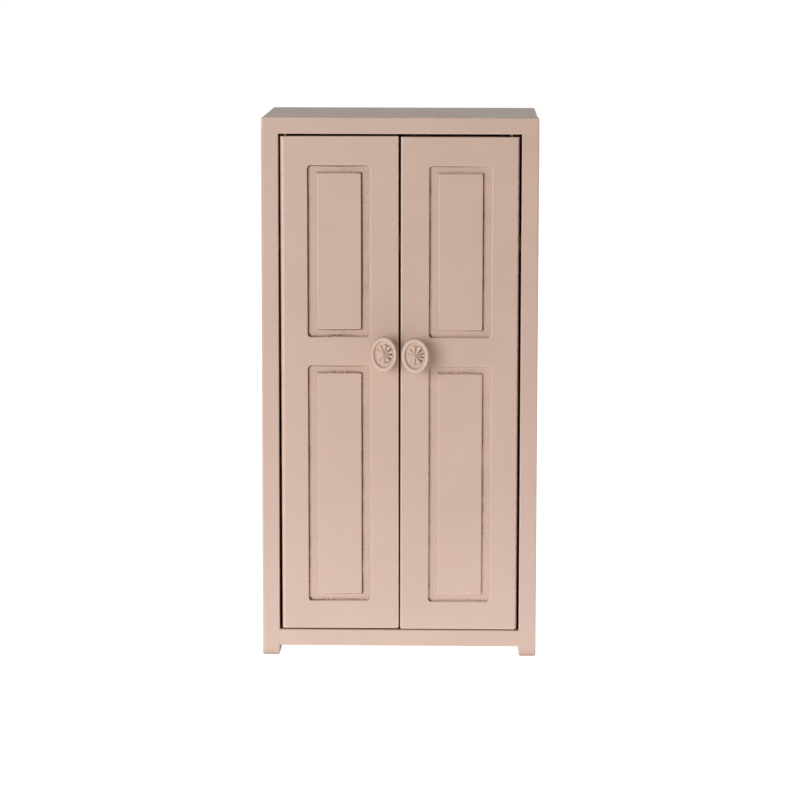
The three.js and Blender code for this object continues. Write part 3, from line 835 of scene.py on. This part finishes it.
for side, hang in HANG.items():
    s = hang["s"]
    joint = JOINTS[side + "_door_hinge"]
    foot, top = hang["foot"], hang["foot"] + DOOR_HEIGHT
    hinge = X_IN - hang["gap"]
    meeting = hinge - DOOR_WIDTH
    xs = sorted((s * hinge, s * meeting))
    out, inn = ("-x", "+x") if s < 0 else ("+x", "-x")
    y0, y1 = Y_FRONT, Y_FRONT + BOARD
    bm = rounded_box(xs, [y0, y1], [foot, top],
                     {out + "-y": 1.3, out + "+y": HINGE_ROUND, inn + "-y": 0.5, inn + "+y": 0.4,
                      "-y+z": 0.3, "-y-z": 0.3, "+y+z": 0.3, "+y-z": 0.3,
                      out + "+z": 0.3, inn + "+z": 0.3, out + "-z": hang["corners"][0], inn + "-z": hang["corners"][1]},
                     segments=6)
    raw = bm.verts.layers.float["raw"]
    # bare board and painted shade on the right door's rounded hinge edge, which turns away from the light; the left
    # door gets only a trace all over
    for v in bm.verts:
        v[raw] = 0.05 if s < 0 else 0.86 * max(0.0, 1 - abs(abs(v.co.x) - hinge) / 1.28)
    line_x = s * (hinge - hang["pin"])
    pin_y = Y_FRONT + PIN_SETBACK
    sinks(bm, [([line_x, pin_y, top], "+z", hole(0.78, 7.6)), ([line_x, pin_y, foot], "-z", hole(0.78, 7.6))])

    front = max((f for f in bm.faces if f.normal.y < -0.9995), key=lambda f: f.calc_area())
    gx = sorted((s * (hinge - hang["hinge"]), s * (meeting + hang["meeting"])))
    z = foot + MARGIN_BOTTOM
    spans = [(z, z + LOWER_GROOVE), (z + LOWER_GROOVE + MIDDLE_RAIL, z + LOWER_GROOVE + MIDDLE_RAIL + UPPER_GROOVE)]
    holes = []
    for k, (za, zb) in enumerate(spans):
        outer, island = cut_groove(bm, gx[0], gx[1], za, zb, Y_FRONT, 11 * (k + 1) + (5 if s > 0 else 0), BARE_AND_SHADE_BY_WALL[side, k])
        holes.append(outer)
        bm.faces.new(island)
    refill(bm, front, holes)
    bmesh.ops.recalc_face_normals(bm, faces=bm.faces)
    slope = -s * hang["drift"] / DOOR_HEIGHT
    pivot = Vector((line_x, 0, top)) * MM
    lean = Matrix.Translation(pivot) @ Matrix.Rotation(-math.atan(slope), 4, "Y") @ Matrix.Translation(-pivot)
    body = side + "_leaf"
    shown("leaf_" + side, bm, body, ["door_" + side], door_paint, place=lean)

    # ---------------------------------------------------------------- knob
    k = KNOB[side]
    bm = bmesh.new()
    edge = bm.verts.layers.float.new("edge")
    bm.verts.layers.float.new("fuzz")
    bm.verts.layers.float.new("raw")
    a, b = k["a"], k["b"]
    body_rings = [
        (0.0, 2.5, 2.5), (0.25, 2.55, 2.55), (0.55, 2.48, 2.5), (0.85, 2.2, 2.22), (1.1, 2.0, 2.0), (1.6, 1.92, 1.92),
        (2.6, 1.88, 1.9), (3.4, 1.95, 2.0), (3.9, 2.2, 2.4), (4.4, 2.7, 3.2), (4.9, 3.4, 4.3), (5.4, a - 0.62, b - 0.8),
        (5.9, a - 0.28, b - 0.36), (6.4, a - 0.1, b - 0.13), (6.9, a - 0.02, b - 0.03), (7.4, a, b), (7.85, a - 0.04, b - 0.05),
    ]
    inner_a, inner_b = k["dish"]
    rim = []
    for deg in (12, 24, 36, 48, 60, 72, 84, 96, 108, 120, 132, 144, 156):
        t = math.radians(deg)
        share = 0.5 * (1 - math.cos(t))
        rim.append((7.9 + 1.1 * math.sin(t) ** 0.85, a - 0.05 - (a - 0.05 - inner_a) * share, b - 0.06 - (b - 0.06 - inner_b) * share))
    rings = body_rings + rim
    sides = 192
    loops = []
    for reach, ra, rb in rings:
        loops.append([(ra * math.cos(i / sides * 2 * math.pi), -reach, rb * math.sin(i / sides * 2 * math.pi)) for i in range(sides)])
    clefts = [math.radians(c) for c in k["clefts"]]
    field = 44
    seed = 3 if s < 0 else 8
    lobes = sorted(((c + 2 * math.pi) % (2 * math.pi)) for c in clefts)
    CHANNEL, PETAL = 7.80, 8.84

    def relief(x, z):
        """Height of the dish at a point: a flower of ridged petals parted by valleys that
        deepen outward, a channel round it, and the rim's foot."""
        q = math.hypot(x / inner_a, z / inner_b)
        t = math.atan2(z, x) % (2 * math.pi)
        r = math.hypot(x, z)
        lo_c, hi_c = lobes[-1] - 2 * math.pi, lobes[0]
        for i, c in enumerate(lobes):
            if c <= t:
                lo_c = c
                hi_c = lobes[(i + 1) % len(lobes)] + (2 * math.pi if i == len(lobes) - 1 else 0)
        w = min(1, max(0, (t - lo_c) / (hi_c - lo_c)))
        lobe = math.sin(math.pi * w)
        east, west, north, south = k["reach"]
        tip = 1 / math.hypot(math.cos(t) / (east if math.cos(t) > 0 else west), math.sin(t) / (north if math.sin(t) > 0 else south))
        tip *= 0.88 + 0.12 * lobe ** 0.8 + 0.03 * wobble((x, 0, z), 1.5, seed)
        faint = 0.62 if math.cos(t) < -0.5 else 1.0
        valley = min(1.04, 0.16 + 0.46 * r) * faint * (0.9 + 0.25 * wobble((x, 1, z), 2.0, seed + 4))
        ridge = PETAL - 0.05 * (r / tip) ** 2 - valley * (1 - lobe) ** 1.1 * min(1, r / 0.35)
        h = CHANNEL + (ridge - CHANNEL) / (1 + math.exp((r - tip) / 0.06))
        h += 0.40 / (1 + math.exp(-(q - 0.985) / 0.016))
        h += 0.014 * wobble((x, 0, z), 0.7, seed + 1)
        return h

    for j in range(1, field):
        q = 1 - j / field
        ring = []
        for i in range(sides):
            t = i / sides * 2 * math.pi
            x, z_ = inner_a * q * math.cos(t), inner_b * q * math.sin(t)
            ring.append((x, -relief(x, z_), z_))
        loops.append(ring)
    made = [[bm.verts.new(p) for p in loop] for loop in loops]
    for p, q_ in zip(made, made[1:]):
        for i in range(sides):
            j = (i + 1) % sides
            bm.faces.new([p[i], p[j], q_[j], q_[i]])
    centre = bm.verts.new((0, -relief(0.001, 0.001), 0))
    for i in range(sides):
        bm.faces.new([made[-1][i], made[-1][(i + 1) % sides], centre])
    bm.faces.new(list(reversed(made[0])))
    for e in (bm.edges.get((made[0][i], made[0][(i + 1) % sides])) for i in range(sides)):
        e.smooth = False
    bmesh.ops.recalc_face_normals(bm, faces=bm.faces)
    knob_shade_layer = bm.verts.layers.float["raw"]
    for v in bm.verts:
        # the rim's top gets the lighter edge paint: partly wear, partly a painted highlight
        if v.co.y < -8.8:
            v[edge] = 0.25 * min(1.0, (-8.8 - v.co.y) / 0.15)
        # painted shade: the low parts of the dish, its valleys and the petals' ends, are darkened with the bare brown,
        # most on the right, away from the light
        q = math.hypot(v.co.x / inner_a, v.co.z / inner_b)
        if v.co.y < -7.5 and q < 0.96:
            low = max(0.0, min(1.0, (8.66 + v.co.y) / 0.45))
            v[knob_shade_layer] = low * max(0.0, min(1.0, 0.36 + 0.80 * v.co.x / inner_a)) * (1 - max(0.0, q - 0.8) / 0.16)
    kx = k["x"] - ((top - k["z"]) * slope)
    at = Matrix.Translation(Vector((kx, Y_FRONT, k["z"])) * MM) @ Matrix.Rotation(math.radians(k["lean"]), 4, "Y")
    shown("knob_cast_" + side, bm, body, ["knob_" + side], knob_paint, normals=False, place=lean @ at)

    # ---------------------------------------------------------------- screw behind it
    R, Hh = 1.9, 1.25
    dome = [(0, -10.2), (0.35, -10.1), (0.75, -9.7), (0.95, -9.3)]
    for turn in range(14):
        hgt = -9.2 + turn * 0.62
        dome += [(0.95, hgt), (0.78, hgt + 0.31)]
    dome += [(0.95, -0.3), (0.95, 0), (R * 0.96, 0), (R, 0.08), (R, Hh * 0.42), (R * 0.96, Hh * 0.6), (R * 0.84, Hh * 0.8),
             (R * 0.62, Hh * 0.94), (R * 0.3, Hh * 0.99), (0, Hh)]
    head = turned(dome, 40)
    head_mesh = bpy.data.meshes.new("head")
    head.to_mesh(head_mesh)
    head.free()
    cutter = bmesh.new()
    bmesh.ops.create_cube(cutter, size=1, matrix=Matrix.Translation((0, 0, Hh + 0.05)) @ Matrix.Diagonal((5, 0.5, 1.0, 1)))
    cut_mesh = bpy.data.meshes.new("slot")
    cutter.to_mesh(cut_mesh)
    cutter.free()
    cut = bpy.data.objects.new("slot_cutter", cut_mesh)
    scene.collection.objects.link(cut)

    def slotted(o):
        m = o.modifiers.new("slot", "BOOLEAN")
        m.object = cut
        m.operation = "DIFFERENCE"
        m.solver = "EXACT"

    head_mesh = with_modifiers(head_mesh, slotted)
    bpy.data.objects.remove(cut)
    bm = bmesh.new()
    bm.from_mesh(head_mesh)
    for e in bm.edges:
        if len(e.link_faces) == 2 and e.calc_face_angle(0) > math.radians(35):
            e.smooth = False
    at = Matrix.Translation(Vector((kx, Y_FRONT + BOARD, k["z"])) * MM) @ Matrix.Rotation(math.radians(-90), 4, "X") \
        @ Matrix.Rotation(math.radians(23 if s < 0 else -41), 4, "Z")
    shown("screw_" + side, bm, body, ["knob_screw_" + side], screw_steel, normals=False, place=lean @ at)

# ------------------------------------------------------------------ floor, light and camera


def floor():
    m, t, b = nodes_of("studio_floor")
    where = node(t, "ShaderNodeTexCoord").outputs["Object"]
    t.links.new(mix_colour(t, noise_tex(t, where, 3, 2), (0.90, 0.90, 0.90), (0.93, 0.93, 0.93)), b.inputs["Base Color"])
    b.inputs["Roughness"].default_value = 0.9
    b.inputs["Specular IOR Level"].default_value = 0.0
    b.inputs["Emission Color"].default_value = (1, 1, 1, 1)
    b.inputs["Emission Strength"].default_value = 0.9
    mesh = bpy.data.meshes.new("floor")
    mesh.from_pydata([(-80, -80, 0), (80, -80, 0), (80, 80, 0), (-80, 80, 0)], [], [(0, 1, 2, 3)])
    mesh.materials.append(m)
    o = bpy.data.objects.new("floor", mesh)
    scene.collection.objects.link(o)
    o.visible_diffuse = False
    o.visible_glossy = False


floor()


def area(name, at, look, size, power, colour=(1, 1, 1), size_y=None, glossy=True):
    data = bpy.data.lights.new(name, "AREA")
    data.energy = power
    data.color = colour
    data.size = size
    if size_y:
        data.shape = "RECTANGLE"
        data.size_y = size_y
    o = bpy.data.objects.new(name, data)
    scene.collection.objects.link(o)
    o.location = at
    o.rotation_euler = (Vector(look) - Vector(at)).to_track_quat("-Z", "Y").to_euler()
    o.visible_camera = False
    o.visible_glossy = glossy
    return o


centre_z = 0.1


def round_the_object(azimuth, elevation, distance, height=0.1):
    """A point at a bearing from the front, counted to the right, and an elevation."""
    az, el = math.radians(azimuth), math.radians(elevation)
    return (distance * math.cos(el) * math.sin(az), -distance * math.cos(el) * math.cos(az), height + distance * math.sin(el))


FRONT = (0, Y_FRONT * MM, centre_z)
area("key", round_the_object(-27, 7, 1.1), FRONT, 0.65, 7.3, (1.0, 1.01, 1.04), size_y=0.6)
# the lit table top just in front, as a lamp: it brightens the front from below
area("table_bounce", (0.03, -0.0835, 0.0005), (0.03, -0.0835, 1.0), 0.5, 0.116, (0.92, 1.0, 1.12), size_y=0.10, glossy=False)
# behind the front plane: they light the sides and back only
area("back_left", round_the_object(-130, 8, 1.5), (0, 0, centre_z), 0.9, 7.0)
area("back_right", round_the_object(118, 8, 1.5), (0, 0, centre_z), 0.9, 9.0)
# a pale backdrop, seen only as the sheen on surfaces met at a low angle
card = area("backdrop_sheen", (0, 2.2, 0.35), (0, 0, 0.25), 3.5, 10.5, size_y=0.9)
card.visible_diffuse = False

world = bpy.data.worlds.new("studio")
scene.world = world
world.use_nodes = True
t = world.node_tree
sky = t.nodes["Background"]
direction = node(t, "ShaderNodeTexCoord").outputs["Generated"]
split = t.nodes.new("ShaderNodeSeparateXYZ")
t.links.new(direction, split.inputs[0])
height = math_node(t, "MULTIPLY_ADD", split.outputs["Z"], 0.5)
height.node.inputs[2].default_value = 0.5
t.links.new(ramp(t, height, [(0.0, (0.52, 0.475, 0.45)), (0.49, (0.52, 0.475, 0.45)), (0.51, (0.40, 0.37, 0.355)), (0.58, (0.26, 0.235, 0.22)), (0.70, (0.18, 0.165, 0.155)), (1.0, (0.14, 0.125, 0.12))]),
            sky.inputs["Color"])
sky.inputs["Strength"].default_value = 1.0

scene.view_settings.view_transform = "Standard"
scene.view_settings.look = "None"
scene.view_settings.exposure = 0.0
scene.view_settings.gamma = 1.0

cam = bpy.data.cameras.new("camera")
cam.sensor_width = 36.0
cam.sensor_fit = "HORIZONTAL"
cam.lens = 3247.873 * 36.0 / 800.0
cam.clip_start = 0.05
cam.clip_end = 400.0
eye = bpy.data.objects.new("camera", cam)
scene.collection.objects.link(eye)
yaw, pitch, roll = 0.02143, 0.139358, 0.001932
look = Vector((-math.sin(yaw) * math.cos(pitch), math.cos(yaw) * math.cos(pitch), -math.sin(pitch)))
right = Vector((math.cos(yaw), math.sin(yaw), 0))
up = right.cross(look)
r2 = right * math.cos(roll) + up * math.sin(roll)
u2 = up * math.cos(roll) - right * math.sin(roll)
m = Matrix((r2, u2, -look)).transposed().to_4x4()
m.translation = Vector((25.178175, -1166.190048 + Y_FRONT, 258.228175)) * MM
eye.matrix_world = m
scene.camera = eye
